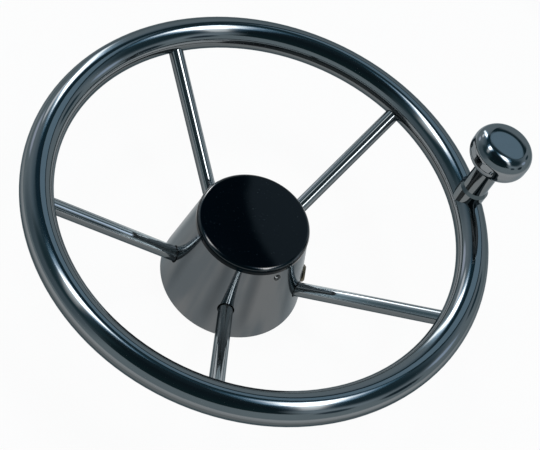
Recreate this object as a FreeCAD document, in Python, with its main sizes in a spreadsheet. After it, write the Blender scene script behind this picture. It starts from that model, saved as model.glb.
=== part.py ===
import FreeCAD, Part
import math
import os
import Sketcher

# A five-spoke stainless steering wheel for a boat, with a turning knob.
# Lengths are in millimetres and angles in degrees.
# The origin is the middle of the hub's back edge, on the wheel's axis.
# +Z runs along that axis towards the person at the helm, and +X towards the gap with the knob.

SIZES = {
    # rim: one bent tube
    "rim_diameter": 343.0,
    "rim_tube_diameter": 23.8,
    "rim_tube_wall": 1.5,
    "rim_height": 96.0,
    # spokes: raked bars from the rim down to the boss
    "spoke_count": 5,
    "spoke_first_angle": 36.0,
    # how far each spoke was welded off its even place round the wheel
    "spoke_1_turn": 1.2,
    "spoke_2_turn": -0.2,
    "spoke_3_turn": -0.3,
    "spoke_4_turn": -1.4,
    "spoke_5_turn": 0.1,
    "spoke_diameter": 11.1,
    "spoke_foot_height": 13.5,
    "spoke_overrun": 10.0,
    "spoke_hole_clearance": 0.8,
    # hub shell: a spun cone, open at both ends
    "hub_back_diameter": 110.0,
    "hub_front_diameter": 84.6,
    "hub_height": 70.0,
    "hub_wall": 2.5,
    "hub_edge_break": 0.5,
    # back plate: a ring that joins the shell to the boss
    "plate_thickness": 3.0,
    "plate_recess": 2.0,
    # boss: takes the tapered helm shaft, its key and its nut
    "boss_diameter": 50.0,
    "boss_height": 42.0,
    "boss_edge_break": 1.0,
    "taper_diameter": 19.05,
    "taper_length": 34.0,
    "taper_ratio": 12.0,
    "keyway_width": 4.8,
    "keyway_depth": 2.4,
    "nut_recess_diameter": 35.0,
    # shaft nut and washer
    "shaft_washer_diameter": 33.3,
    "shaft_washer_hole": 16.7,
    "shaft_washer_thickness": 2.4,
    "shaft_nut_flats": 23.8,
    "shaft_nut_height": 9.5,
    "shaft_nut_bore": 14.6,
    "shaft_nut_chamfer_angle": 30.0,
    # centre cap: a moulded disc with a skirt that drops into the shell
    "cap_height": 5.8,
    "cap_dome_rise": 1.2,
    "cap_edge_radius": 3.0,
    "cap_wall": 2.5,
    "cap_skirt_length": 12.0,
    "cap_skirt_wall": 2.2,
    "cap_skirt_clearance": 0.25,
    # the two grub screws that hold the cap
    "cap_screw_diameter": 5.0,
    "cap_screw_drop": 5.4,
    "cap_screw_angle": -71.0,
    "cap_screw_stand_out": 0.6,
    "cap_screw_point_diameter": 1.0,
    "cap_screw_tip_gap": 0.1,
    "cap_screw_slot_width": 0.9,
    "cap_screw_slot_depth": 1.2,
    "cap_screw_slot_turn": 45.0,
    # the lock screw that bears on the shaft
    "lock_screw_angle": -16.0,
    "lock_screw_height": 26.4,
    "lock_screw_diameter": 8.0,
    "lock_screw_hole_diameter": 8.6,
    "lock_screw_head_diameter": 13.4,
    "lock_screw_head_height": 2.6,
    "lock_screw_head_chamfer": 1.4,
    "lock_screw_socket_flats": 5.0,
    "lock_screw_socket_depth": 1.8,
    "lock_screw_tip_gap": 0.5,
    "lock_screw_end_chamfer": 1.0,
    "spot_face_diameter": 14.2,
    "spot_face_depth": 0.5,
    # knob: where it stands, and the ball's outline
    "knob_angle": 3.1,
    "knob_tilt": 4.0,
    "knob_centre_height": 62.0,
    "knob_diameter": 45.2,
    "knob_dome_radius": 75.0,
    "knob_side_radius": 10.5,
    "knob_side_height": 3.6,
    "knob_foot_diameter": 19.0,
    "knob_bore_depth": 18.2,
    # knob post: welded to the rim
    "post_diameter": 18.9,
    "post_edge_radius": 0.5,
    "post_collar_diameter": 22.2,
    "post_collar_height": 20.4,
    "post_collar_flare": 2.6,
    "post_bore_depth": 18.0,
    # knob spindle: screwed into the post
    "spindle_diameter": 8.0,
    "spindle_thread_length": 14.0,
    "spindle_thread_chamfer": 1.0,
    "spindle_flange_diameter": 20.0,
    "spindle_flange_thickness": 1.8,
    "spindle_flange_flats": 18.0,
    "spindle_flange_edge_radius": 0.6,
    "spindle_end_length": 1.8,
    "spindle_end_chamfer": 0.5,
    "spindle_groove_diameter": 7.0,
    "spindle_groove_width": 1.1,
    # bushes, thrust washer and circlip inside the knob
    "bush_diameter": 12.0,
    "bush_length": 6.6,
    "bush_flange_diameter": 14.0,
    "bush_flange_thickness": 1.0,
    "bush_flange_proud": 0.2,
    "bush_clearance": 0.06,
    "bush_flange_clearance": 0.1,
    "knob_end_float": 0.3,
    "thrust_washer_diameter": 11.4,
    "thrust_washer_thickness": 1.0,
    "circlip_diameter": 10.6,
    "circlip_thickness": 0.9,
    "circlip_opening": 3.0,
}

SHEET_NAME = "Sizes"
FULL_TURN = 360
HEXAGON_SIDES = 6
QUARTER_TURN = 90
DRILL_POINT_ANGLE = 118
TOOL_OVERRUN = 2
SMALLEST_CUT = 1e-6
SAME_EDGE = 1e-4

document = FreeCAD.newDocument("BoatSteeringWheel")
sheet = document.addObject("Spreadsheet::Sheet", SHEET_NAME)
for row, (alias, number) in enumerate(SIZES.items(), start=1):
    cell = f"A{row}"
    sheet.set(cell, str(number))
    sheet.setAlias(cell, alias)
document.recompute()


class Size:
    """A number together with the sheet formula that gives it."""

    def __init__(self, value, formula):
        self.value = value
        self.formula = formula

    def __add__(self, other):
        other = as_size(other)
        return Size(self.value + other.value, f"({self.formula} + {other.formula})")

    def __sub__(self, other):
        other = as_size(other)
        return Size(self.value - other.value, f"({self.formula} - {other.formula})")

    def __mul__(self, other):
        other = as_size(other)
        return Size(self.value * other.value, f"({self.formula} * {other.formula})")

    def __truediv__(self, other):
        other = as_size(other)
        return Size(self.value / other.value, f"({self.formula} / {other.formula})")

    def __neg__(self):
        return Size(-self.value, f"(0 - {self.formula})")


def as_size(number):
    if isinstance(number, Size):
        return number
    return Size(float(number), f"({number})")


def given(alias):
    """The driving size of that name, read back from the sheet."""
    return Size(float(sheet.get(alias)), f"{SHEET_NAME}.{alias}")


def half_of(size):
    return size / 2


def half(alias):
    return half_of(given(alias))


def root(size):
    return Size(math.sqrt(size.value), f"sqrt({size.formula})")


def sine(size):
    return Size(math.sin(math.radians(size.value)), f"sin({size.formula})")


def cosine(size):
    return Size(math.cos(math.radians(size.value)), f"cos({size.formula})")


def tangent(size):
    return Size(math.tan(math.radians(size.value)), f"tan({size.formula})")


def slope_angle(rise, run):
    """The angle of a line that rises by one length over another."""
    angle = math.degrees(math.atan2(rise.value, run.value))
    return Size(angle, f"(atan2({rise.formula}; {run.formula}) / 1 deg)")


ZERO = as_size(0)


def bind_placement(piece, x, y, z, yaw=ZERO, pitch=ZERO):
    """Put a piece at a bound place: tipped by pitch, then turned about Z by yaw."""
    place = f"vector({x.formula}; {y.formula}; {z.formula})"
    turn = f"rotation({yaw.formula}; {pitch.formula}; 0)"
    piece.setExpression("Placement", f"placement({place}; {turn})")


def new_body(label):
    body = document.addObject("PartDesign::Body", label)
    body.Label = label
    return body


def origin_plane(body, role):
    return next(item for item in body.Origin.OriginFeatures if item.Role == role)


def new_sketch(body, name, role="XZ_Plane"):
    sketch = body.newObject("Sketcher::SketchObject", name)
    sketch.AttachmentSupport = [(origin_plane(body, role), "")]
    sketch.MapMode = "FlatFace"
    return sketch


def turn_sketch(sketch, axis, angle, lift=None):
    """Turn a sketch about one of its own axes, and lift it off its plane if asked."""
    sketch.AttachmentOffset = FreeCAD.Placement(
        FreeCAD.Vector(0, 0, 0), FreeCAD.Rotation(axis, angle.value)
    )
    sketch.setExpression("AttachmentOffset.Rotation.Angle", angle.formula)
    if lift is not None:
        sketch.setExpression("AttachmentOffset.Base.z", lift.formula)


def hold_point(sketch, curve, end, x, y):
    """Hold one end, or the centre, of a curve at a bound place."""
    for direction, place in (("DistanceX", x), ("DistanceY", y)):
        rule = Sketcher.Constraint(direction, -1, 1, curve, end, place.value)
        index = sketch.addConstraint(rule)
        sketch.setExpression(f"Constraints[{index}]", place.formula)


def arc_between(start, finish, radius, side):
    """An arc from start to finish. Side +1 puts its centre on the left of that way, -1 on the right."""
    chord = finish - start
    rise = math.sqrt(max(radius**2 - (chord.Length / 2) ** 2, 0.0))
    left = FreeCAD.Vector(-chord.y, chord.x, 0).normalize()
    centre = start + chord * 0.5 + left * (side * rise)
    first, last = (start, finish) if side > 0 else (finish, start)
    angles = [math.atan2(p.y - centre.y, p.x - centre.x) for p in (first, last)]
    if angles[1] < angles[0]:
        angles[1] += 2 * math.pi
    circle = Part.Circle(centre, FreeCAD.Vector(0, 0, 1), radius)
    return Part.ArcOfCircle(circle, angles[0], angles[1])


def draw_outline(sketch, corners, arcs=None):
    """Draw a closed outline through bound corners. arcs maps a corner's number to the
    (radius, side) of the arc that leaves it; every other side is straight."""
    arcs = arcs or {}
    count = len(corners)
    points = [FreeCAD.Vector(x.value, y.value, 0) for x, y in corners]
    ends = []
    for number in range(count):
        start, finish = points[number], points[(number + 1) % count]
        if number in arcs:
            radius, side = arcs[number]
            curve = sketch.addGeometry(arc_between(start, finish, radius.value, side), False)
            index = sketch.addConstraint(Sketcher.Constraint("Radius", curve, radius.value))
            sketch.setExpression(f"Constraints[{index}]", radius.formula)
            ends.append((curve, 1, 2) if side > 0 else (curve, 2, 1))
        else:
            curve = sketch.addGeometry(Part.LineSegment(start, finish), False)
            ends.append((curve, 1, 2))
    for number in range(count):
        curve, first, last = ends[number]
        next_curve, next_first, _ = ends[(number + 1) % count]
        sketch.addConstraint(Sketcher.Constraint("Coincident", curve, last, next_curve, next_first))
        hold_point(sketch, curve, first, *corners[number])


def draw_circle(sketch, x, y, radius):
    centre = FreeCAD.Vector(x.value, y.value, 0)
    circle = Part.Circle(centre, FreeCAD.Vector(0, 0, 1), radius.value)
    curve = sketch.addGeometry(circle, False)
    hold_point(sketch, curve, 3, x, y)
    index = sketch.addConstraint(Sketcher.Constraint("Radius", curve, radius.value))
    sketch.setExpression(f"Constraints[{index}]", radius.formula)


def draw_rectangle(sketch, x_low, x_high, y_low, y_high):
    draw_outline(sketch, [(x_low, y_low), (x_high, y_low), (x_high, y_high), (x_low, y_high)])


def hexagon_corner(flats):
    """How far a hexagon's corners are from its middle."""
    return half_of(flats) / cosine(as_size(FULL_TURN / HEXAGON_SIDES / 2))


def draw_hexagon(sketch, flats):
    corner_radius = hexagon_corner(flats)
    corners = []
    for number in range(HEXAGON_SIDES):
        angle = as_size(number * FULL_TURN / HEXAGON_SIDES)
        corners.append((corner_radius * cosine(angle), corner_radius * sine(angle)))
    draw_outline(sketch, corners)


def revolve(body, sketch, name):
    feature = body.newObject("PartDesign::Revolution", name)
    feature.Profile = sketch
    feature.ReferenceAxis = (sketch, ["V_Axis"])
    feature.Angle = FULL_TURN
    return feature


def turned_body(label, corners, arcs=None):
    """A piece turned about its own Z axis from an outline of (radius, height) corners."""
    body = new_body(label)
    sketch = new_sketch(body, f"{label}_section")
    draw_outline(sketch, corners, arcs)
    revolve(body, sketch, f"{label}_turning")
    return body


def cut_round_hole(body, name, turn, start, way, radius, length):
    """Cut a round hole from start along way, both (radius, height) in the plane turned about Z."""
    before = body.Shape.Volume
    sketch = new_sketch(body, f"{name}_section")
    turn_sketch(sketch, FreeCAD.Vector(0, 1, 0), turn)
    end = (start[0] + way[0] * length, start[1] + way[1] * length)
    side = (-(way[1] * radius), way[0] * radius)
    draw_outline(
        sketch,
        [start, end, (end[0] + side[0], end[1] + side[1]), (start[0] + side[0], start[1] + side[1])],
    )
    axis = Part.LineSegment(
        FreeCAD.Vector(start[0].value, start[1].value, 0),
        FreeCAD.Vector(end[0].value, end[1].value, 0),
    )
    line = sketch.addGeometry(axis, True)
    sketch.addConstraint(Sketcher.Constraint("Coincident", line, 1, 0, 1))
    sketch.addConstraint(Sketcher.Constraint("Coincident", line, 2, 0, 2))
    groove = body.newObject("PartDesign::Groove", name)
    groove.Profile = sketch
    groove.ReferenceAxis = (sketch, ["Axis0"])
    groove.Angle = FULL_TURN
    document.recompute()
    check_cut(name, before, body)
    return groove


def cut_pocket(body, sketch, name, depth=None, upward=False):
    """Cut a pocket: through everything, or to a bound depth."""
    before = body.Shape.Volume
    pocket = body.newObject("PartDesign::Pocket", name)
    pocket.Profile = sketch
    pocket.Reversed = upward
    if depth is None:
        pocket.Type = "ThroughAll"
    else:
        pocket.Type = "Length"
        pocket.setExpression("Length", depth.formula)
    document.recompute()
    check_cut(name, before, body)
    return pocket


def check_cut(name, before, body):
    if not body.Shape.Volume < before - SMALLEST_CUT:
        raise RuntimeError(f"{name} removed nothing")


def edge_names(feature, radius, height):
    """The names of a feature's full circles of that radius at that height."""
    names = []
    for number, edge in enumerate(feature.Shape.Edges, start=1):
        if edge.Degenerated or not isinstance(edge.Curve, Part.Circle):
            continue
        wider = abs(edge.Curve.Radius - radius.value)
        higher = abs(edge.Curve.Center.z - height.value)
        if wider < SAME_EDGE and higher < SAME_EDGE:
            names.append(f"Edge{number}")
    if not names:
        raise RuntimeError(f"no edge of radius {radius.value} at {height.value}")
    return names


def dress_edge(body, kind, name, size, places):
    """Round or chamfer the circles at the given (radius, height) places."""
    document.recompute()
    base = body.Tip
    names = []
    for radius, height in places:
        names += edge_names(base, radius, height)
    feature = body.newObject(f"PartDesign::{kind}", name)
    feature.Base = (base, names)
    feature.setExpression("Radius" if kind == "Fillet" else "Size", size.formula)
    document.recompute()


def cut_away(label, base, tools):
    """Take tool shapes away from a base, one after the other."""
    for number, tool in enumerate(tools, start=1):
        cut = document.addObject("Part::Cut", f"{label}_cut_{number}")
        cut.Base = base
        cut.Tool = tool
        base = cut
    base.Label = label
    return base


# Sizes that several pieces share
rim_centre_radius = (given("rim_diameter") - given("rim_tube_diameter")) / 2
hub_back_radius = half("hub_back_diameter")
hub_front_radius = half("hub_front_diameter")
hub_height = given("hub_height")
hub_draft = hub_back_radius - hub_front_radius
hub_side_length = root(hub_height * hub_height + hub_draft * hub_draft)
hub_wall_level = given("hub_wall") * hub_side_length / hub_height
hub_pitch = slope_angle(hub_height, hub_draft)
# spokes slope from the middle of the rim tube down to their feet on the boss
spoke_drop = given("rim_height") - given("spoke_foot_height")
spoke_rake = slope_angle(spoke_drop, rim_centre_radius - half("boss_diameter"))
# unit vector square to the cone's side, as (radius, height)
hub_normal = (hub_height / hub_side_length, hub_draft / hub_side_length)


def hub_radius_at(height):
    """The shell's outer radius at a height."""
    return hub_back_radius - hub_draft * height / hub_height


def hub_inner_radius_at(height):
    return hub_radius_at(height) - hub_wall_level


def make_rim_tube():
    """The rim: one tube bent into a ring and closed by a seam."""
    body = new_body("rim_tube")
    sketch = new_sketch(body, "rim_tube_section")
    outer = half("rim_tube_diameter")
    draw_circle(sketch, rim_centre_radius, given("rim_height"), outer)
    draw_circle(sketch, rim_centre_radius, given("rim_height"), outer - given("rim_tube_wall"))
    revolve(body, sketch, "rim_tube_bend")
    return body


def make_rim_envelope():
    """The space the rim tube fills, used to cope what is welded to it."""
    torus = document.addObject("Part::Torus", "RimEnvelope")
    torus.setExpression("Radius1", rim_centre_radius.formula)
    torus.setExpression("Radius2", half("rim_tube_diameter").formula)
    bind_placement(torus, ZERO, ZERO, given("rim_height"))
    return torus


def make_boss_envelope():
    cylinder = document.addObject("Part::Cylinder", "BossEnvelope")
    cylinder.setExpression("Radius", half("boss_diameter").formula)
    cylinder.setExpression("Height", given("boss_height").formula)
    return cylinder


def spoke_angle(number):
    even_place = given("spoke_first_angle") + as_size(FULL_TURN * (number - 1)) / given("spoke_count")
    return even_place + given(f"spoke_{number}_turn")


def spoke_numbers():
    return range(1, int(given("spoke_count").value) + 1)


def make_spoke(number, rim_envelope, boss_envelope):
    """A raked bar, coped to the rim tube at one end and to the boss at the other."""
    label = f"spoke_{number}"
    rake = spoke_rake
    angle = spoke_angle(number)
    inner_radius = half("boss_diameter") - given("spoke_overrun")
    bar = document.addObject("Part::Cylinder", f"{label}_bar")
    bar.setExpression("Radius", half("spoke_diameter").formula)
    bar.setExpression("Height", ((rim_centre_radius - inner_radius) / cosine(rake)).formula)
    bind_placement(
        bar,
        rim_centre_radius * cosine(angle),
        rim_centre_radius * sine(angle),
        given("rim_height"),
        yaw=angle,
        pitch=-(rake + QUARTER_TURN),
    )
    return cut_away(label, bar, [rim_envelope, boss_envelope])


def make_hub_shell():
    """The hub's spun cone, with its raked spoke holes and its screw holes."""
    corners = [
        (hub_back_radius, ZERO),
        (hub_front_radius, hub_height),
        (hub_inner_radius_at(hub_height), hub_height),
        (hub_inner_radius_at(ZERO), ZERO),
    ]
    body = turned_body("hub_shell", corners)
    dress_edge(body, "Chamfer", "hub_shell_edge", given("hub_edge_break"), [(hub_back_radius, ZERO)])

    rake = spoke_rake
    hole_start = (
        hub_inner_radius_at(ZERO) - given("spoke_overrun"),
        given("rim_height") - (rim_centre_radius - hub_inner_radius_at(ZERO) + given("spoke_overrun"))
        * tangent(rake),
    )
    for number in spoke_numbers():
        cut_round_hole(
            body,
            f"spoke_hole_{number}",
            spoke_angle(number),
            hole_start,
            (cosine(rake), sine(rake)),
            half("spoke_diameter") + given("spoke_hole_clearance"),
            (hub_wall_level + given("spoke_overrun") * 2) / cosine(rake),
        )

    inward = (-hub_normal[0], -hub_normal[1])
    through = given("hub_wall") + TOOL_OVERRUN * 2
    screw_height = hub_height - given("cap_screw_drop")
    for number, turn in enumerate(cap_screw_angles(), start=1):
        start = outside_of((hub_radius_at(screw_height), screw_height))
        cut_round_hole(
            body, f"cap_screw_hole_{number}", turn, start, inward, half("cap_screw_diameter"), through
        )
    seat = lock_screw_seat()
    start = outside_of(seat)
    turn = given("lock_screw_angle")
    spot_radius = half("spot_face_diameter")
    cut_round_hole(body, "spot_face", turn, start, inward, spot_radius, as_size(TOOL_OVERRUN))
    hole_radius = half("lock_screw_hole_diameter")
    cut_round_hole(body, "lock_screw_hole", turn, seat, inward, hole_radius, through)
    return body


def outside_of(place):
    """A (radius, height) place moved straight out of the cone's side by the tool's overrun."""
    return (place[0] + hub_normal[0] * TOOL_OVERRUN, place[1] + hub_normal[1] * TOOL_OVERRUN)


def cap_screw_angles():
    first = given("cap_screw_angle")
    return [first, first + QUARTER_TURN * 2]


def lock_screw_seat():
    """The middle of the spot face under the lock screw's head, as (radius, height)."""
    height = given("lock_screw_height")
    depth = given("spot_face_depth")
    return (
        hub_radius_at(height) - hub_normal[0] * depth,
        height - hub_normal[1] * depth,
    )


def make_back_plate():
    """The ring plate inside the shell's back edge, which carries the boss."""
    low = given("plate_recess")
    high = low + given("plate_thickness")
    boss = half("boss_diameter")
    corners = [
        (boss, low),
        (hub_inner_radius_at(low), low),
        (hub_inner_radius_at(high), high),
        (boss, high),
    ]
    return turned_body("hub_back_plate", corners)


def make_boss():
    """The boss: taper bore, keyway, recess for the nut, and the lock screw's tapped hole."""
    outer = half("boss_diameter")
    top = given("boss_height")
    floor = given("taper_length")
    bore = half("taper_diameter")
    small_bore = bore - floor / given("taper_ratio") / 2
    recess = half("nut_recess_diameter")
    corners = [
        (bore, ZERO),
        (outer, ZERO),
        (outer, top),
        (recess, top),
        (recess, floor),
        (small_bore, floor),
    ]
    body = turned_body("hub_boss", corners)
    dress_edge(body, "Chamfer", "hub_boss_edges", given("boss_edge_break"), [(outer, ZERO), (outer, top)])

    sketch = new_sketch(body, "keyway_section", "XY_Plane")
    draw_rectangle(
        sketch,
        -half("keyway_width"),
        half("keyway_width"),
        ZERO,
        bore + given("keyway_depth"),
    )
    cut_pocket(body, sketch, "keyway", upward=True)

    inward = (-hub_normal[0], -hub_normal[1])
    seat = lock_screw_seat()
    cut_round_hole(
        body,
        "lock_screw_thread_hole",
        given("lock_screw_angle"),
        seat,
        inward,
        half("lock_screw_diameter"),
        (seat[0] - small_bore / 2) / hub_normal[0],
    )
    return body


def make_shaft_washer():
    low = given("taper_length")
    high = low + given("shaft_washer_thickness")
    outer = half("shaft_washer_diameter")
    inner = half("shaft_washer_hole")
    return turned_body("shaft_washer", [(inner, low), (outer, low), (outer, high), (inner, high)])


def make_shaft_nut():
    """The hexagon nut that pulls the wheel onto the taper."""
    body = new_body("shaft_nut")
    low = given("taper_length") + given("shaft_washer_thickness")
    height = given("shaft_nut_height")
    flats = given("shaft_nut_flats")
    sketch = new_sketch(body, "shaft_nut_section", "XY_Plane")
    draw_hexagon(sketch, flats)
    draw_circle(sketch, ZERO, ZERO, half("shaft_nut_bore"))
    turn_sketch(sketch, FreeCAD.Vector(0, 0, 1), ZERO, lift=low)
    pad = body.newObject("PartDesign::Pad", "shaft_nut_pad")
    pad.Profile = sketch
    pad.setExpression("Length", height.formula)
    document.recompute()

    before = body.Shape.Volume
    reach = hexagon_corner(flats) + TOOL_OVERRUN
    slope = (reach - half_of(flats)) * tangent(given("shaft_nut_chamfer_angle"))
    for name, face, inward in (
        ("shaft_nut_lower_chamfer", low, 1),
        ("shaft_nut_upper_chamfer", low + height, -1),
    ):
        sketch = new_sketch(body, f"{name}_section")
        draw_outline(sketch, [(half_of(flats), face), (reach, face), (reach, face + slope * inward)])
        groove = body.newObject("PartDesign::Groove", name)
        groove.Profile = sketch
        groove.ReferenceAxis = (sketch, ["V_Axis"])
        groove.Angle = FULL_TURN
    document.recompute()
    check_cut("shaft_nut chamfers", before, body)
    return body


def cap_skirt_radius():
    return hub_inner_radius_at(hub_height) - given("cap_skirt_clearance")


def make_centre_cap():
    """The moulded cap: a slightly domed disc flush with the shell, and a skirt inside it."""
    face = hub_height + given("cap_height")
    rise = given("cap_dome_rise")
    top = face + rise
    ceiling = face - given("cap_wall")
    skirt = cap_skirt_radius()
    skirt_inner = skirt - given("cap_skirt_wall")
    skirt_end = hub_height - given("cap_skirt_length")
    dome_radius = (hub_front_radius * hub_front_radius + rise * rise) / (rise * 2)
    corners = [
        (ZERO, ceiling),
        (skirt_inner, ceiling),
        (skirt_inner, skirt_end),
        (skirt, skirt_end),
        (skirt, hub_height),
        (hub_front_radius, hub_height),
        (hub_front_radius, face),
        (ZERO, top),
    ]
    body = turned_body("centre_cap", corners, {6: (dome_radius, 1)})
    dress_edge(body, "Fillet", "centre_cap_edge", given("cap_edge_radius"), [(hub_front_radius, face)])
    return body


def make_cap_screw(number, turn):
    """A slotted grub screw: its local Z points straight out of the cone's side."""
    radius = half("cap_screw_diameter")
    point = half("cap_screw_point_diameter")
    height = hub_height - given("cap_screw_drop")
    surface = hub_radius_at(height)
    tip = -((surface - cap_skirt_radius()) / hub_normal[0] - given("cap_screw_tip_gap"))
    shoulder = tip + radius - point
    head = given("cap_screw_stand_out")
    corners = [(ZERO, tip), (point, tip), (radius, shoulder), (radius, head), (ZERO, head)]
    body = turned_body(f"cap_screw_{number}", corners)
    document.recompute()
    sketch = new_sketch(body, f"cap_screw_{number}_slot_section", "XY_Plane")
    slot = half("cap_screw_slot_width")
    reach = radius + TOOL_OVERRUN
    draw_rectangle(sketch, -reach, reach, -slot, slot)
    turn_sketch(sketch, FreeCAD.Vector(0, 0, 1), given("cap_screw_slot_turn"), lift=head)
    cut_pocket(body, sketch, f"cap_screw_{number}_slot", given("cap_screw_slot_depth"))
    bind_placement(body, surface * cosine(turn), surface * sine(turn), height, turn, hub_pitch)
    return body


def make_lock_screw():
    """The screw through the shell and boss: its local Z points straight out of the cone's side."""
    radius = half("lock_screw_diameter")
    head = half("lock_screw_head_diameter")
    head_height = given("lock_screw_head_height")
    chamfer = given("lock_screw_head_chamfer")
    turn = given("lock_screw_angle")
    seat = lock_screw_seat()
    tip = -((seat[0] - half("taper_diameter") - given("lock_screw_tip_gap")) / hub_normal[0])
    end_chamfer = given("lock_screw_end_chamfer")
    corners = [
        (ZERO, tip),
        (radius - end_chamfer, tip),
        (radius, tip + end_chamfer),
        (radius, ZERO),
        (head, ZERO),
        (head, head_height - chamfer),
        (head - chamfer, head_height),
        (ZERO, head_height),
    ]
    body = turned_body("hub_lock_screw", corners)
    document.recompute()
    sketch = new_sketch(body, "lock_screw_socket_section", "XY_Plane")
    draw_hexagon(sketch, given("lock_screw_socket_flats"))
    turn_sketch(sketch, FreeCAD.Vector(0, 0, 1), ZERO, lift=head_height)
    cut_pocket(body, sketch, "lock_screw_socket", given("lock_screw_socket_depth"))
    bind_placement(body, seat[0] * cosine(turn), seat[0] * sine(turn), seat[1], turn, hub_pitch)
    return body


# The ball's outline: two domes joined by a rounded side, all tangent
knob_dome = given("knob_dome_radius")
knob_side = given("knob_side_radius")
knob_side_middle = half("knob_diameter") - knob_side
knob_centres_apart = knob_dome - knob_side
knob_dome_middle = root(
    knob_centres_apart * knob_centres_apart - knob_side_middle * knob_side_middle
)
knob_reach = half("knob_side_height") + knob_dome - knob_dome_middle
knob_foot = half("knob_foot_diameter")
knob_foot_rise = knob_dome - root(knob_dome * knob_dome - knob_foot * knob_foot)

# Heights along the knob's axis, from the middle of the rim tube
ball_underside = given("knob_centre_height") - knob_reach + knob_foot_rise
lower_bush_start = ball_underside - given("bush_flange_proud")
spindle_flange_top = lower_bush_start - given("knob_end_float")
post_top = spindle_flange_top - given("spindle_flange_thickness")
upper_bush_start = lower_bush_start + given("bush_length")
upper_bush_end = upper_bush_start + given("bush_length")
thrust_washer_start = upper_bush_end + given("knob_end_float")
circlip_start = thrust_washer_start + given("thrust_washer_thickness")
groove_end = circlip_start + given("spindle_groove_width")
spindle_end = groove_end + given("spindle_end_length")


def stand_on_rim(piece):
    """Put a knob piece, made about its own Z axis, where the knob stands on the rim."""
    angle = given("knob_angle")
    bind_placement(
        piece,
        rim_centre_radius * cosine(angle),
        rim_centre_radius * sine(angle),
        given("rim_height"),
        yaw=angle,
        pitch=given("knob_tilt"),
    )
    return piece


def make_knob_post(rim_envelope):
    """The post: a stem on a wider collar that is coped to the rim tube, bored for the spindle."""
    stem = half("post_diameter")
    collar = half("post_collar_diameter")
    collar_top = given("post_collar_height")
    bore = half("spindle_diameter")
    bore_end = post_top - given("post_bore_depth")
    drill_point = bore / tangent(as_size(DRILL_POINT_ANGLE / 2))
    corners = [
        (ZERO, ZERO),
        (collar, ZERO),
        (collar, collar_top - given("post_collar_flare")),
        (stem, collar_top),
        (stem, post_top),
        (bore, post_top),
        (bore, bore_end),
        (ZERO, bore_end - drill_point),
    ]
    body = turned_body("knob_post_bar", corners)
    dress_edge(body, "Fillet", "knob_post_edge", given("post_edge_radius"), [(stem, post_top)])
    stand_on_rim(body)
    return cut_away("knob_post", body, [rim_envelope])


def make_knob_spindle():
    """The spindle: thread, flange with spanner flats, journal and a groove for the circlip."""
    radius = half("spindle_diameter")
    groove = half("spindle_groove_diameter")
    flange = half("spindle_flange_diameter")
    thread_end = post_top - given("spindle_thread_length")
    thread_chamfer = given("spindle_thread_chamfer")
    end_chamfer = given("spindle_end_chamfer")
    corners = [
        (ZERO, thread_end),
        (radius - thread_chamfer, thread_end),
        (radius, thread_end + thread_chamfer),
        (radius, post_top),
        (flange, post_top),
        (flange, spindle_flange_top),
        (radius, spindle_flange_top),
        (radius, circlip_start),
        (groove, circlip_start),
        (groove, groove_end),
        (radius, groove_end),
        (radius, spindle_end - end_chamfer),
        (radius - end_chamfer, spindle_end),
        (ZERO, spindle_end),
    ]
    body = turned_body("knob_spindle", corners)
    dress_edge(
        body,
        "Fillet",
        "spindle_flange_edges",
        given("spindle_flange_edge_radius"),
        [(flange, post_top), (flange, spindle_flange_top)],
    )
    flats = half("spindle_flange_flats")
    reach = flange + TOOL_OVERRUN
    for name, near, far in (
        ("spanner_flat_1", flats, reach),
        ("spanner_flat_2", -reach, -flats),
    ):
        sketch = new_sketch(body, f"{name}_section", "XY_Plane")
        draw_rectangle(sketch, near, far, -flange, flange)
        turn_sketch(sketch, FreeCAD.Vector(0, 0, 1), ZERO, lift=spindle_flange_top)
        cut_pocket(body, sketch, name, given("spindle_flange_thickness"))
    return stand_on_rim(body)


def make_knob_ball():
    """The ball: a flat foot, two shallow domes round one rounded side, and a blind bore with
    a recess at its mouth for the lower bush's flange."""
    centre = given("knob_centre_height")
    widest = half("knob_diameter")
    straight = half("knob_side_height")
    join_radius = knob_dome * knob_side_middle / knob_centres_apart
    join_height = straight + knob_side * knob_dome_middle / knob_centres_apart
    bore = half("bush_diameter")
    recess = half("bush_flange_diameter") + given("bush_flange_clearance")
    recess_top = lower_bush_start + given("bush_flange_thickness")
    bore_end = ball_underside + given("knob_bore_depth")
    drill_point = bore / tangent(as_size(DRILL_POINT_ANGLE / 2))
    corners = [
        (recess, ball_underside),
        (knob_foot, ball_underside),
        (join_radius, centre - join_height),
        (widest, centre - straight),
        (widest, centre + straight),
        (join_radius, centre + join_height),
        (ZERO, centre + knob_reach),
        (ZERO, bore_end + drill_point),
        (bore, bore_end),
        (bore, recess_top),
        (recess, recess_top),
    ]
    arcs = {1: (knob_dome, 1), 2: (knob_side, 1), 4: (knob_side, 1), 5: (knob_dome, 1)}
    return stand_on_rim(turned_body("knob_ball", corners, arcs))


def make_lower_bush():
    bore = half("spindle_diameter") + given("bush_clearance")
    outer = half("bush_diameter")
    flange = half("bush_flange_diameter")
    shoulder = lower_bush_start + given("bush_flange_thickness")
    end = lower_bush_start + given("bush_length")
    corners = [
        (bore, lower_bush_start),
        (flange, lower_bush_start),
        (flange, shoulder),
        (outer, shoulder),
        (outer, end),
        (bore, end),
    ]
    return stand_on_rim(turned_body("knob_lower_bush", corners))


def ring(label, inner, outer, low, high):
    return turned_body(label, [(inner, low), (outer, low), (outer, high), (inner, high)])


def make_upper_bush():
    bore = half("spindle_diameter") + given("bush_clearance")
    return stand_on_rim(
        ring("knob_upper_bush", bore, half("bush_diameter"), upper_bush_start, upper_bush_end)
    )


def make_thrust_washer():
    bore = half("spindle_diameter") + given("bush_clearance")
    outer = half("thrust_washer_diameter")
    return stand_on_rim(
        ring("knob_thrust_washer", bore, outer, thrust_washer_start, circlip_start)
    )


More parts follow.
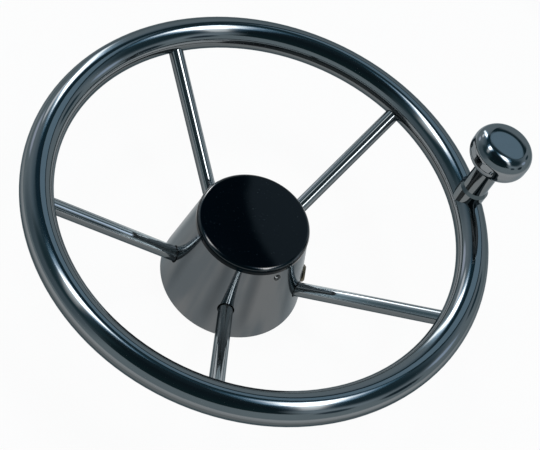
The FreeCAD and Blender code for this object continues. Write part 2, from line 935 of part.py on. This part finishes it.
def make_circlip():
    """The open ring that snaps into the spindle's groove."""
    inner = half("spindle_groove_diameter")
    outer = half("circlip_diameter")
    top = circlip_start + given("circlip_thickness")
    body = ring("knob_circlip", inner, outer, circlip_start, top)
    document.recompute()
    sketch = new_sketch(body, "circlip_opening_section", "XY_Plane")
    opening = half("circlip_opening")
    draw_rectangle(sketch, ZERO, outer + TOOL_OVERRUN, -opening, opening)
    turn_sketch(sketch, FreeCAD.Vector(0, 0, 1), ZERO, lift=top)
    cut_pocket(body, sketch, "circlip_opening", given("circlip_thickness"))
    return stand_on_rim(body)


def make_all():
    rim_envelope = make_rim_envelope()
    boss_envelope = make_boss_envelope()
    pieces = [make_rim_tube()]
    for number in spoke_numbers():
        pieces.append(make_spoke(number, rim_envelope, boss_envelope))
    pieces += [make_hub_shell(), make_back_plate(), make_boss()]
    pieces += [make_shaft_washer(), make_shaft_nut(), make_centre_cap()]
    for number, turn in enumerate(cap_screw_angles(), start=1):
        pieces.append(make_cap_screw(number, turn))
    pieces.append(make_lock_screw())
    pieces += [make_knob_post(rim_envelope), make_knob_spindle(), make_knob_ball()]
    pieces += [make_lower_bush(), make_upper_bush(), make_thrust_washer(), make_circlip()]
    return pieces


def check_and_write(pieces):
    """Stop on any failed object or bad solid, then write one file for each piece."""
    document.recompute()
    for item in document.Objects:
        if "Invalid" in item.State or "Error" in item.State:
            raise RuntimeError(f"{item.Label} failed: {item.State}")
    for piece in pieces:
        shape = piece.Shape
        if shape.isNull() or not shape.isValid() or len(shape.Solids) != 1:
            raise RuntimeError(f"{piece.Label} is not one valid solid")
    os.makedirs("parts", exist_ok=True)
    for piece in pieces:
        piece.Shape.exportStep(os.path.join("parts", f"{piece.Label}.step"))
        print(f"{piece.Label}: {piece.Shape.Volume:.1f} mm3")


check_and_write(make_all())
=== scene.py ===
"""A stainless boat steering wheel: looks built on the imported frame."""

import math

import bpy
from mathutils import Matrix, Vector

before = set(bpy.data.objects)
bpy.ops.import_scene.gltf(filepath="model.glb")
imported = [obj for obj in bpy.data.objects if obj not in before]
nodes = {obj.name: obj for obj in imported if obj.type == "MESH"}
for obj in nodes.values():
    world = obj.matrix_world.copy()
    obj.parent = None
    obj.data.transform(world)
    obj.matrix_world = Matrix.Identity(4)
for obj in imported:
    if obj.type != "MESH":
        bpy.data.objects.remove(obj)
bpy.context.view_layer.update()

# Lengths of the wheel that the looks are built on, in metres.
# The rim's radius and height are those of the middle of its tube.
RIM_RADIUS = 0.1596
RIM_HEIGHT = 0.096
# The first spoke's place round the wheel, the step from one to the next, and their rake
FIRST_SPOKE = math.radians(36)
SPOKE_STEP = math.radians(72)
SPOKE_RAKE = math.radians(31.5)
# The cap screws' axis as (radius, height), and how far out along it their heads end
SCREW_AXIS = (0.984, 0.1785)
SCREW_HEAD = 0.04328 * SCREW_AXIS[0] + 0.0646 * SCREW_AXIS[1] + 0.0006

# Steel on its sides and below, darkened as painted shade: the range of its cloudiness, and of its
# polishing lines
SHADED_CLOUD = ((0.108, 0.122, 0.129), (0.126, 0.139, 0.145))
SHADED_LINES = ((0.096, 0.108, 0.113), (0.138, 0.150, 0.155))
# Steel where it faces up, lightened as a painted highlight. The spokes have duller and brighter
# lines.
RIM_LIT_CROWN = (0.208, 0.226, 0.237)
POST_LIT_CROWN = (0.15, 0.165, 0.17)
SPOKE_LIT_CROWNS = ((0.24, 0.26, 0.27), (0.50, 0.53, 0.55))
# The hub ends of the camera side's spokes, lighter still as a painted reflection of the hub
HUB_REFLECTION_CROWNS = ((0.62, 0.67, 0.69), (0.85, 0.88, 0.90))
# The tilts between which the painted shade of the steel turns to its painted highlight: 1 faces up,
# 0 to the side and -1 down
RIM_TILT = (0.10, 0.45)
SPOKE_TILT = (0.25, 0.75)
HUB_REFLECTION_TILT = (0.35, 0.60)
KNOB_TILT = (-0.5, 0.2)
# Where the painted reflection of the hub on the camera side's spokes fades out: along the spoke,
# and in Y
HUB_REFLECTION_LENGTH = (-0.104, -0.052)
HUB_REFLECTION_SIDE = (0.008, 0.016)
# The cone's painted dark reflections beside the spokes: angle from the spoke, half width, and
# height of their full strength
DARK_REFLECTION_PLACE = math.radians(15)
DARK_REFLECTION_REACH = math.radians(9)
DARK_REFLECTION_HEIGHT = 0.030
# How light the steel stays where it is seen at a glancing angle
TUBE_EDGE = (0.30, 0.34, 0.36)
KNOB_EDGE = (0.55, 0.60, 0.63)
HUB_EDGE = (0.60, 0.64, 0.66)
# The grey of the room low down, and of the floor far from the wheel as painted falloff of the light
ROOM_GREY = (0.43, 0.51, 0.54)
# The floor: half its width, how far it lies below the wheel, and where its white fades out as
# painted falloff of the light
FLOOR_HALF = 6.0
FLOOR_DROP = 0.0003
PAINTED_FALLOFF_REACH = (0.42, 0.80)


def add_object(name, data):
    thing = bpy.data.objects.new(name, data)
    bpy.context.collection.objects.link(thing)
    return thing


def make_camera():
    data = bpy.data.cameras.new("camera")
    data.sensor_fit = "HORIZONTAL"
    data.sensor_width = 36.0
    data.lens = 96.663
    data.clip_start = 0.05
    data.clip_end = 50.0
    camera = add_object("camera", data)
    camera.location = (-0.290334, -0.550776, 0.921485)
    camera.rotation_euler = [math.radians(a) for a in (33.81587, -14.56446, -8.26602)]
    bpy.context.scene.camera = camera


class Tree:
    """Short names for making the nodes of one material or of the world."""

    def __init__(self, owner):
        owner.use_nodes = True
        self.tree = owner.node_tree
        self.tree.nodes.clear()

    def add(self, kind, **settings):
        node = self.tree.nodes.new(kind)
        for key, value in settings.items():
            setattr(node, key, value)
        return node

    def link(self, source, socket):
        self.tree.links.new(source, socket)

    def feed(self, socket, value):
        """Links another node's output, or sets a plain value or a colour of three numbers."""
        if isinstance(value, bpy.types.NodeSocket):
            self.link(value, socket)
        elif socket.type == "RGBA" and len(value) == 3:
            socket.default_value = (*value, 1.0)
        else:
            socket.default_value = value

    def math(self, operation, a, b=None, c=None, clamp=False):
        node = self.add("ShaderNodeMath", operation=operation, use_clamp=clamp)
        for index, value in enumerate((a, b, c)):
            if value is not None:
                self.feed(node.inputs[index], value)
        return node.outputs[0]

    def add_up(self, a, b):
        return self.math("ADD", a, b)

    def less(self, a, b):
        return self.math("SUBTRACT", a, b)

    def times(self, a, b):
        return self.math("MULTIPLY", a, b)

    def length(self, x, y):
        """The length of the flat vector (x, y)."""
        return self.math("SQRT", self.add_up(self.times(x, x), self.times(y, y)))

    def range(self, value, low, high, to_low, to_high, kind="LINEAR"):
        node = self.add("ShaderNodeMapRange", interpolation_type=kind)
        for index, item in enumerate((value, low, high, to_low, to_high)):
            self.feed(node.inputs[index], item)
        return node.outputs[0]

    def fade(self, value, low, high, to_low=0.0, to_high=1.0):
        """A range with soft ends."""
        return self.range(value, low, high, to_low, to_high, "SMOOTHSTEP")

    def parts(self, vector):
        node = self.add("ShaderNodeSeparateXYZ")
        self.feed(node.inputs[0], vector)
        return node.outputs

    def vector(self, x, y, z):
        node = self.add("ShaderNodeCombineXYZ")
        for index, value in enumerate((x, y, z)):
            self.feed(node.inputs[index], value)
        return node.outputs[0]

    def noise(self, vector, scale, detail=2.0, roughness=0.5, distortion=0.0):
        node = self.add("ShaderNodeTexNoise", noise_dimensions="3D")
        self.feed(node.inputs["Vector"], vector)
        node.inputs["Scale"].default_value = scale
        node.inputs["Detail"].default_value = detail
        node.inputs["Roughness"].default_value = roughness
        node.inputs["Distortion"].default_value = distortion
        return node.outputs[0]

    def ramp(self, value, stops):
        node = self.add("ShaderNodeValToRGB")
        elements = node.color_ramp.elements
        while len(elements) < len(stops):
            elements.new(0.5)
        for element, (place, colour) in zip(elements, stops):
            element.position = place
            element.color = (*colour, 1.0)
        self.feed(node.inputs[0], value)
        return node.outputs[0]

    def mix(self, factor, first, second):
        """A mix of two colours."""
        node = self.add("ShaderNodeMix", data_type="RGBA")
        self.feed(node.inputs[0], factor)
        self.feed(node.inputs[6], first)
        self.feed(node.inputs[7], second)
        return node.outputs[2]

    def bump(self, height, distance):
        node = self.add("ShaderNodeBump")
        node.inputs["Strength"].default_value = 1.0
        node.inputs["Distance"].default_value = distance
        self.feed(node.inputs["Height"], height)
        return node.outputs[0]

    def place(self):
        return self.add("ShaderNodeTexCoord").outputs["Object"]

    def facing_up(self):
        """1 where the surface faces up, 0 on its sides, -1 below."""
        return self.parts(self.add("ShaderNodeTexCoord").outputs["Normal"])[2]

    def from_spoke(self, turn):
        """The angle from the nearest spoke, for an angle round the wheel."""
        half = SPOKE_STEP / 2
        turned = self.add_up(self.less(turn, FIRST_SPOKE), half)
        return self.less(self.math("FLOORED_MODULO", turned, SPOKE_STEP), half)

    def shade_by_tilt(self, cloud, tilt, lit_crown, lines=None):
        """Steel with painted shade on the sides and below, and a mirror-bright painted highlight
        where it faces up.
        """
        shaded = self.mix(cloud, *SHADED_CLOUD) if lines is None else self.mix(lines, *SHADED_LINES)
        highlight = self.mix(cloud, tuple(c * 0.94 for c in lit_crown), tuple(c * 1.05 for c in lit_crown))
        return self.mix(self.fade(self.facing_up(), *tilt), shaded, highlight)

    def surface(self, **inputs):
        shader = self.add("ShaderNodeBsdfPrincipled")
        for key, value in inputs.items():
            self.feed(shader.inputs[key.replace("_", " ")], value)
        output = self.add("ShaderNodeOutputMaterial")
        self.link(shader.outputs[0], output.inputs[0])


def new_material(name):
    material = bpy.data.materials.new(name)
    return material, Tree(material)


def polished_rim():
    """Polished tube, with fine marks that run along it."""
    material, tree = new_material("polished_rim_steel")
    x, y, z = tree.parts(tree.place())
    round_wheel = tree.math("ARCTAN2", y, x)
    out = tree.less(tree.length(x, y), RIM_RADIUS)
    round_tube = tree.math("ARCTAN2", tree.less(z, RIM_HEIGHT), out)
    marks_place = tree.vector(
        tree.times(tree.math("COSINE", round_wheel), 2.2),
        tree.times(tree.math("SINE", round_wheel), 2.2),
        tree.times(round_tube, 26.0),
    )
    marks = tree.noise(marks_place, 4.0, detail=5.0, roughness=0.65)
    cloud = tree.noise(tree.place(), 38.0, detail=3.0)
    roughness = tree.add_up(
        tree.range(cloud, 0.35, 0.7, 0.055, 0.075), tree.range(marks, 0.45, 0.75, 0.0, 0.012)
    )
    waves = tree.noise(tree.place(), 14.0, detail=1.0)
    lines = tree.noise(tree.vector(0.0, 0.0, tree.times(round_tube, 3.0)), 3.0, detail=4.0)
    lines = tree.fade(lines, 0.36, 0.64)
    tree.surface(
        # painted shade on the tube's sides and underside, and a painted highlight on its top
        Base_Color=tree.shade_by_tilt(cloud, RIM_TILT, RIM_LIT_CROWN, lines),
        Metallic=0.985,
        Roughness=roughness,
        Normal=tree.bump(waves, 0.00008),
        Specular_Tint=TUBE_EDGE,
    )
    return material


def along_spoke(tree):
    """Places folded on to one spoke: along it, less than 0 inwards of the rim, across it and up."""
    x, y, z = tree.parts(tree.place())
    folded = tree.from_spoke(tree.math("ARCTAN2", y, x))
    radius = tree.length(x, y)
    out = tree.less(tree.times(radius, tree.math("COSINE", folded)), RIM_RADIUS)
    across = tree.times(radius, tree.math("SINE", folded))
    up = tree.less(z, RIM_HEIGHT)
    cosine, sine = math.cos(SPOKE_RAKE), math.sin(SPOKE_RAKE)
    along = tree.add_up(tree.times(out, cosine), tree.times(up, sine))
    above = tree.less(tree.times(up, cosine), tree.times(out, sine))
    return along, across, above


def polished_spoke():
    """Polished bar with duller and brighter lines along it."""
    material, tree = new_material("polished_spoke_steel")
    along, across, above = along_spoke(tree)
    round_bar = tree.math("ARCTAN2", above, across)
    marks_place = tree.vector(tree.times(along, 9.0), tree.times(round_bar, 9.0), 0.0)
    marks = tree.noise(marks_place, 4.0, detail=5.0, roughness=0.65)
    cloud = tree.noise(tree.place(), 60.0, detail=3.0)
    roughness = tree.add_up(
        tree.range(cloud, 0.35, 0.7, 0.04, 0.08), tree.range(marks, 0.45, 0.75, 0.0, 0.015)
    )
    lines = tree.noise(tree.vector(0.0, 0.0, tree.times(round_bar, 2.2)), 3.0, detail=3.0)
    lines = tree.fade(lines, 0.38, 0.62)
    # duller and brighter lines along the bar, with painted shade on its sides and underside and a
    # painted highlight on its top
    lined_and_shaded = tree.mix(lines, *[tree.shade_by_tilt(cloud, SPOKE_TILT, lit_crown) for lit_crown in SPOKE_LIT_CROWNS])
    # painted reflection of the hub: the three spokes on the camera's side are lighter towards the
    # hub
    hub_reflection = tree.mix(lines, *[tree.shade_by_tilt(cloud, HUB_REFLECTION_TILT, lit_crown) for lit_crown in HUB_REFLECTION_CROWNS])
    lower = tree.fade(along, *HUB_REFLECTION_LENGTH, 1.0, 0.0)
    near = tree.range(tree.parts(tree.place())[1], *HUB_REFLECTION_SIDE, 1.0, 0.0)
    tree.surface(
        Base_Color=tree.mix(tree.times(lower, near), lined_and_shaded, hub_reflection),
        Metallic=0.95,
        Roughness=roughness,
        Normal=tree.bump(marks, 0.000001),
        Specular_Tint=TUBE_EDGE,
    )
    return material


def polished_knob(name, lit_crown):
    """Polished steel that hands have smeared a little."""
    material, tree = new_material(name)
    cloud = tree.noise(tree.place(), 70.0, detail=3.0)
    smear = tree.noise(tree.place(), 24.0, detail=2.0, distortion=1.5)
    fine = tree.noise(tree.place(), 900.0, detail=2.0)
    roughness = tree.add_up(
        tree.range(cloud, 0.35, 0.7, 0.035, 0.07), tree.range(smear, 0.5, 0.75, 0.0, 0.06)
    )
    tree.surface(
        # darker below as painted shade, lighter above as a painted highlight
        Base_Color=tree.shade_by_tilt(cloud, KNOB_TILT, lit_crown),
        Metallic=0.985,
        Roughness=roughness,
        Normal=tree.bump(fine, 0.000002),
        Specular_Tint=KNOB_EDGE,
    )
    return material


def brushed_hub():
    """Satin steel with fine marks round the cone, so that it mirrors in upright streaks."""
    material, tree = new_material("brushed_hub_steel")
    x, y, z = tree.parts(tree.place())
    turn = tree.math("ARCTAN2", y, x)
    cosine = tree.math("COSINE", turn)
    sine = tree.math("SINE", turn)
    marks_place = tree.vector(tree.times(cosine, 0.02), tree.times(sine, 0.02), tree.times(z, 6.0))
    marks = tree.noise(marks_place, 200.0, detail=4.0, roughness=0.6)
    flows_place = tree.vector(cosine, sine, tree.times(z, 4.0))
    flows = tree.fade(tree.noise(flows_place, 3.0, detail=2.0), 0.34, 0.66)
    cloud = tree.noise(tree.place(), 30.0, detail=3.0)
    roughness = tree.add_up(
        tree.range(cloud, 0.35, 0.7, 0.12, 0.17), tree.range(marks, 0.3, 0.7, 0.0, 0.04)
    )
    colour = tree.mix(flows, (0.100, 0.114, 0.123), (0.145, 0.151, 0.154))
    # a soft painted dark reflection down the cone on each side of every spoke, fainter low down
    beside = tree.less(tree.math("ABSOLUTE", tree.from_spoke(turn)), DARK_REFLECTION_PLACE)
    dark_reflection = tree.fade(tree.math("ABSOLUTE", beside), 0.0, DARK_REFLECTION_REACH, 0.55, 0.0)
    dark_reflection = tree.times(dark_reflection, tree.fade(z, 0.0, DARK_REFLECTION_HEIGHT, 0.15, 1.0))
    tree.surface(
        Base_Color=tree.mix(dark_reflection, colour, (0.048, 0.056, 0.062)),
        Metallic=1.0,
        Roughness=roughness,
        Normal=tree.bump(marks, 0.000006),
        Specular_Tint=HUB_EDGE,
        Anisotropic=0.92,
        Anisotropic_Rotation=0.25,
        Tangent=tree.add("ShaderNodeTangent", direction_type="RADIAL", axis="Z").outputs[0],
    )
    return material


def turned_steel():
    """Machined steel with fine rings round the wheel's axis."""
    material, tree = new_material("turned_steel")
    x, y, z = tree.parts(tree.place())
    rings_place = tree.vector(tree.times(tree.length(x, y), 2600.0), tree.times(z, 2600.0), 0.0)
    rings = tree.noise(rings_place, 1.0, detail=2.0)
    cloud = tree.noise(tree.place(), 80.0, detail=3.0)
    tree.surface(
        Base_Color=tree.mix(rings, (0.44, 0.45, 0.455), (0.52, 0.53, 0.535)),
        Metallic=1.0,
        Roughness=tree.range(cloud, 0.3, 0.7, 0.22, 0.34),
        Normal=tree.bump(rings, 0.00003),
    )
    return material


def screw_steel():
    """Plain steel of the washer and the ring inside the knob."""
    material, tree = new_material("screw_steel")
    cloud = tree.noise(tree.place(), 260.0, detail=3.0)
    fine = tree.noise(tree.place(), 2600.0, detail=2.0)
    tree.surface(
        Base_Color=tree.mix(cloud, (0.15, 0.15, 0.14), (0.24, 0.24, 0.23)),
        Metallic=1.0,
        Roughness=tree.range(cloud, 0.3, 0.7, 0.24, 0.40),
        Normal=tree.bump(fine, 0.00001),
    )
    return material


def slotted_screw():
    """The cap screws: the face of the head darkened as painted shade, and the slot and all below
    the face lightened as a painted highlight.
    """
    material, tree = new_material("slotted_screw_steel")
    x, y, z = tree.parts(tree.place())
    outwards = tree.times(tree.length(x, y), SCREW_AXIS[0])
    outwards = tree.math("MULTIPLY_ADD", z, SCREW_AXIS[1], outwards)
    cloud = tree.noise(tree.place(), 420.0, detail=3.0)
    shaded_head = tree.mix(cloud, (0.010, 0.014, 0.016), (0.032, 0.036, 0.036))
    highlight = tree.mix(cloud, (0.75, 0.78, 0.80), (0.90, 0.92, 0.93))
    slot_highlight = tree.fade(outwards, SCREW_HEAD - 0.0009, SCREW_HEAD - 0.0003, 1.0, 0.0)
    tree.surface(
        Base_Color=tree.mix(slot_highlight, shaded_head, highlight),
        Metallic=1.0,
        Roughness=tree.range(cloud, 0.3, 0.7, 0.24, 0.38),
        Normal=tree.bump(cloud, 0.00002),
    )
    return material


def brown_screw():
    """The lock screw: dull, a little brown, darker and lighter in patches."""
    material, tree = new_material("brown_screw_steel")
    cloud = tree.noise(tree.place(), 320.0, detail=4.0)
    fine = tree.noise(tree.place(), 2600.0, detail=2.0)
    tree.surface(
        Base_Color=tree.mix(cloud, (0.065, 0.056, 0.036), (0.14, 0.125, 0.09)),
        Metallic=1.0,
        Roughness=tree.range(cloud, 0.3, 0.7, 0.32, 0.48),
        Normal=tree.bump(fine, 0.00001),
    )
    return material


def black_plastic():
    """Glossy moulding with a faint flow of the surface, fine scuffs and a few specks of dust."""
    material, tree = new_material("black_moulded_plastic")
    place = tree.place()
    x, y, z = tree.parts(place)
    specks = tree.range(tree.noise(place, 1500.0, detail=1.0), 0.765, 0.80, 0.0, 1.0)
    scuffs = tree.noise(tree.vector(x, tree.times(y, 7.0), z), 90.0, detail=4.0)
    cloud = tree.noise(place, 45.0, detail=2.0)
    marks = tree.add_up(tree.range(scuffs, 0.60, 0.75, 0.0, 0.04), tree.times(specks, 0.3))
    facing_up = tree.facing_up()
    face = tree.mix(specks, (0.0006, 0.0016, 0.0032), (0.10, 0.12, 0.14))
    # the side wall's colour holds a faint painted dark-teal reflection
    side = tree.fade(facing_up, 0.35, 0.60, 1.0, 0.0)
    # by tilt: dull on its side as painted shade, very glossy on the rounded edge as a painted
    # highlight, and plain gloss on the face
    painted_gloss_by_tilt = ((0.50, 0.02), (0.62, 0.95), (0.93, 0.95), (0.985, 0.15))
    painted_gloss = tree.ramp(facing_up, [(tilt, (level,) * 3) for tilt, level in painted_gloss_by_tilt])
    tree.surface(
        Base_Color=tree.mix(side, face, (0.0008, 0.0070, 0.0105)),
        Roughness=tree.add_up(tree.range(cloud, 0.35, 0.7, 0.03, 0.05), marks),
        Normal=tree.bump(cloud, 0.00004),
        IOR=1.60,
        Specular_IOR_Level=painted_gloss,
    )
    return material


def bush_plastic():
    """Natural acetal."""
    material, tree = new_material("bush_plastic")
    cloud = tree.noise(tree.place(), 400.0, detail=3.0)
    tree.surface(
        Base_Color=tree.mix(cloud, (0.76, 0.75, 0.70), (0.84, 0.83, 0.79)),
        Roughness=tree.range(cloud, 0.3, 0.7, 0.45, 0.6),
        Normal=tree.bump(cloud, 0.00001),
    )
    return material


def dress(node_names, material):
    for name in node_names:
        slots = nodes[name].data.materials
        slots.clear()
        slots.append(material)
        nodes[name].data.update()


def dress_wheel():
    dress(["rim_tube"], polished_rim())
    dress([f"spoke_{i}" for i in range(1, 6)], polished_spoke())
    dress(["knob_ball"], polished_knob("polished_knob_steel", RIM_LIT_CROWN))
    dress(["knob_post", "knob_spindle"], polished_knob("polished_post_steel", POST_LIT_CROWN))
    dress(["hub_shell", "hub_back_plate"], brushed_hub())
    dress(["hub_boss", "shaft_washer", "shaft_nut"], turned_steel())
    dress(["knob_thrust_washer", "knob_circlip"], screw_steel())
    dress(["cap_screw_1", "cap_screw_2"], slotted_screw())
    dress(["hub_lock_screw"], brown_screw())
    dress(["centre_cap"], black_plastic())
    dress(["knob_lower_bush", "knob_upper_bush"], bush_plastic())


def make_floor():
    """White paper under the wheel. The camera and the steel see it white near the wheel; further
    out the white fades to grey as painted falloff of the light.
    """
    corners = ((-1, -1), (1, -1), (1, 1), (-1, 1))
    corners = [(x * FLOOR_HALF, y * FLOOR_HALF, 0) for x, y in corners]
    mesh = bpy.data.meshes.new("floor")
    mesh.from_pydata(corners, [], [(0, 1, 2, 3)])
    floor = add_object("floor", mesh)
    floor.location.z = -FLOOR_DROP
    material, tree = new_material("floor_paper")
    paths = tree.add("ShaderNodeLightPath").outputs
    shown = tree.add_up(paths["Is Camera Ray"], paths["Is Glossy Ray"])
    shown = tree.math("ADD", shown, paths["Is Transmission Ray"], clamp=True)
    x, y, _ = tree.parts(tree.place())
    # painted falloff: the floor turns grey away from the wheel
    far = tree.fade(tree.length(x, y), *PAINTED_FALLOFF_REACH)
    grain = tree.noise(tree.place(), 300.0, detail=2.0)
    paper_tone = tree.mix(grain, (0.79, 0.79, 0.79), (0.81, 0.81, 0.81))
    paper = tree.add("ShaderNodeBsdfDiffuse")
    tree.feed(paper.inputs["Color"], tree.mix(far, paper_tone, (0.30, 0.33, 0.35)))
    white = tree.add("ShaderNodeEmission")
    tree.feed(white.inputs["Color"], tree.mix(far, (1.0, 1.0, 1.0), ROOM_GREY))
    white.inputs["Strength"].default_value = 1.0
    both = tree.add("ShaderNodeMixShader")
    tree.feed(both.inputs[0], tree.times(shown, 0.95))
    tree.link(paper.outputs[0], both.inputs[1])
    tree.link(white.outputs[0], both.inputs[2])
    output = tree.add("ShaderNodeOutputMaterial")
    tree.link(both.outputs[0], output.inputs[0])
    mesh.materials.append(material)


def make_top_light():
    """The room's wide soft top light. The mirror steel doesn't show it as a shape."""
    data = bpy.data.lights.new("top_light", "AREA")
    data.shape = "DISK"
    data.size = 2.4
    data.energy = 5.0
    lamp = add_object("top_light", data)
    lamp.location = (0.0, 0.0, 2.4)
    lamp.visible_glossy = False


# Near lamps: spoke, start, end and width in metres, and brightness
SPOKE_LAMPS = (
    ("spoke_1", (0.116, -0.45, 0.45), (0.244, -0.207, 0.45), 0.12, 4.6),
    ("spoke_2", (0.07, 0.05, 0.45), (0.173, -0.24, 0.45), 0.09, 4.2),
)
SPOKES_MIDDLE = (0.0, 0.0, 0.06)


def make_spoke_lamp(spoke, start, end, wide, brightness):
    """A narrow lamp close above the wheel. Only its own spoke mirrors it, as a thin white line."""
    start, end = Vector(start), Vector(end)
    data = bpy.data.lights.new(spoke + "_lamp", "AREA")
    data.shape = "RECTANGLE"
    data.size = (end - start).length
    data.size_y = wide
    data.energy = brightness * math.pi * data.size * data.size_y
    lamp = add_object(spoke + "_lamp", data)
    lamp.location = (start + end) / 2
    lamp.visible_camera = False
    # the lamp's back points away from the middle of the spokes
    along = (end - start).normalized()
    back = (lamp.location - Vector(SPOKES_MIDDLE)).normalized()
    back = (back - along * back.dot(along)).normalized()
    turn = Matrix((along, back.cross(along), back)).transposed()
    lamp.rotation_euler = turn.to_euler()
    receivers = bpy.data.collections.new(spoke + "_lamp_receivers")
    receivers.objects.link(nodes[spoke])
    lamp.light_linking.receiver_collection = receivers


# The room by height, from level (0) to straight up (1), on the camera's side and beyond the wheel
NEAR_SIDE = (
    (0.0, ROOM_GREY),
    (0.45, ROOM_GREY),
    (0.50, (0.014, 0.042, 0.050)),
    (1.0, (0.008, 0.020, 0.028)),
)
FAR_SIDE = (
    (0.0, ROOM_GREY),
    (0.50, (0.39, 0.47, 0.52)),
    (0.72, (0.21, 0.30, 0.36)),
    (0.84, (0.043, 0.100, 0.130)),
    (0.93, (0.03, 0.085, 0.12)),
    (0.975, (0.014, 0.036, 0.048)),
)
# Round patches in the room: azimuth, elevation, inner and outer reach in degrees, and colour
PATCHES = (
    (-52, 36, 6, 20, (0.50, 0.60, 0.66)),
    (86, 54, 9, 15, (0.014, 0.055, 0.085)),
    (-25, 50, 8, 26, (0.03, 0.07, 0.09)),
    (172, 20, 12, 40, (0.19, 0.26, 0.30)),
    (172, 48, 10, 26, (0.04, 0.09, 0.11)),
    (125, 11, 4, 9, (1.1, 1.15, 1.35)),
    (-10, 22, 3, 9, (0.87, 1.04, 1.30)),
    (45, 44.5, 17.5, 21, (0.014, 0.045, 0.06)),
    (45, 44.5, 14.0, 15.6, (0.36, 0.53, 0.66)),
    (-32, 12, 5, 10, (0.03, 0.06, 0.08)),
    (11, 21, 4, 8, (0.04, 0.09, 0.12)),
    (-57, 22, 3, 9, (0.06, 0.10, 0.13)),
    (110, 25, 3, 7.5, (1.9, 1.9, 1.95)),
)
# Soft strip lamps, laid out in degrees away from straight up, towards +X and towards +Y:
# start, end, reach, and brightness at the start and at the end
STRIP_LAMPS = (
    ((19.5, 8.5), (19.5, -4.0), 11.5, 10.0, 10.0),
    ((19.5, -4.0), (22.0, -32.0), 9.5, 4.0, 1.2),
    ((-2.0, 20.5), (-14.0, 16.5), 9.0, 10.0, 10.0),
    ((-14.0, 16.5), (-40.0, 2.0), 10.5, 2.2, 0.4),
    ((-4.0, 50.0), (-8.0, 58.0), 10.8, 10.0, 10.0),
    ((-8.0, 58.0), (-9.0, 76.0), 9.0, 6.0, 4.0),
)
# A strip lamp's colour from the end of its reach (0) to its middle (1)
STRIP_GLOW = (
    (0.0, (0.0, 0.0, 0.0)),
    (0.143, (0.0064, 0.0144, 0.021)),
    (0.321, (0.026, 0.045, 0.061)),
    (0.430, (0.077, 0.10, 0.128)),
    (0.536, (0.21, 0.23, 0.25)),
    (0.643, (0.42, 0.42, 0.42)),
    (0.750, (0.86, 0.86, 0.86)),
    (1.0, (1.0, 0.99, 0.98)),
)


def facing(tree, parts, azimuth, elevation):
    """How far the looked-at direction agrees with this one, from 1 down to -1."""
    azimuth, elevation = math.radians(azimuth), math.radians(elevation)
    x, y, z = parts
    total = tree.times(x, math.cos(azimuth) * math.cos(elevation))
    total = tree.math("MULTIPLY_ADD", y, math.sin(azimuth) * math.cos(elevation), total)
    return tree.math("MULTIPLY_ADD", z, math.sin(elevation), total)


def strip_light(tree, right, ahead, start, end, reach, first, last):
    """The light of one strip lamp in the looked-at direction."""
    run = (end[0] - start[0], end[1] - start[1])
    square = run[0] ** 2 + run[1] ** 2
    off_x = tree.less(right, start[0])
    off_y = tree.less(ahead, start[1])
    place = tree.times(off_x, run[0] / square)
    place = tree.math("MULTIPLY_ADD", off_y, run[1] / square, place)
    place = tree.math("ADD", place, 0.0, clamp=True)
    off_x = tree.math("MULTIPLY_ADD", place, -run[0], off_x)
    off_y = tree.math("MULTIPLY_ADD", place, -run[1], off_y)
    share = tree.math("DIVIDE", tree.length(off_x, off_y), reach)
    inwards = tree.math("SUBTRACT", 1.0, share, clamp=True)
    light = tree.add("ShaderNodeVectorMath", operation="SCALE")
    tree.feed(light.inputs[0], tree.ramp(inwards, STRIP_GLOW))
    tree.feed(light.inputs["Scale"], tree.range(place, 0.0, 1.0, first, last))
    return light.outputs[0]


def make_world():
    """A dark studio: grey low down, black above the camera's side, dim on the far side."""
    world = bpy.data.worlds.new("studio")
    bpy.context.scene.world = world
    tree = Tree(world)
    x, y, z = parts = tree.parts(tree.add("ShaderNodeTexCoord").outputs["Generated"])
    far = tree.fade(facing(tree, parts, 55, 0), -0.25, 0.05)
    colour = tree.mix(far, tree.ramp(z, NEAR_SIDE), tree.ramp(z, FAR_SIDE))
    for azimuth, elevation, inner, outer, tone in PATCHES:
        amount = tree.fade(
            facing(tree, parts, azimuth, elevation),
            math.cos(math.radians(outer)),
            math.cos(math.radians(inner)),
        )
        colour = tree.mix(amount, colour, tone)
    # degrees away from straight up, towards +X and towards +Y
    flat = tree.math("MAXIMUM", tree.length(x, y), 0.0001)
    spread = tree.math("DIVIDE", tree.math("ARCCOSINE", z), flat)
    spread = tree.times(spread, 180.0 / math.pi)
    right = tree.times(x, spread)
    ahead = tree.times(y, spread)
    for strip in STRIP_LAMPS:
        total = tree.add("ShaderNodeVectorMath", operation="ADD")
        tree.feed(total.inputs[0], colour)
        tree.feed(total.inputs[1], strip_light(tree, right, ahead, *strip))
        colour = total.outputs[0]
    background = tree.add("ShaderNodeBackground")
    tree.feed(background.inputs["Color"], colour)
    background.inputs["Strength"].default_value = 1.0
    output = tree.add("ShaderNodeOutputWorld")
    tree.link(background.outputs[0], output.inputs[0])


make_camera()
bpy.context.scene.view_settings.view_transform = "Standard"
dress_wheel()
make_floor()
make_world()
make_top_light()
for spoke_lamp in SPOKE_LAMPS:
    make_spoke_lamp(*spoke_lamp)
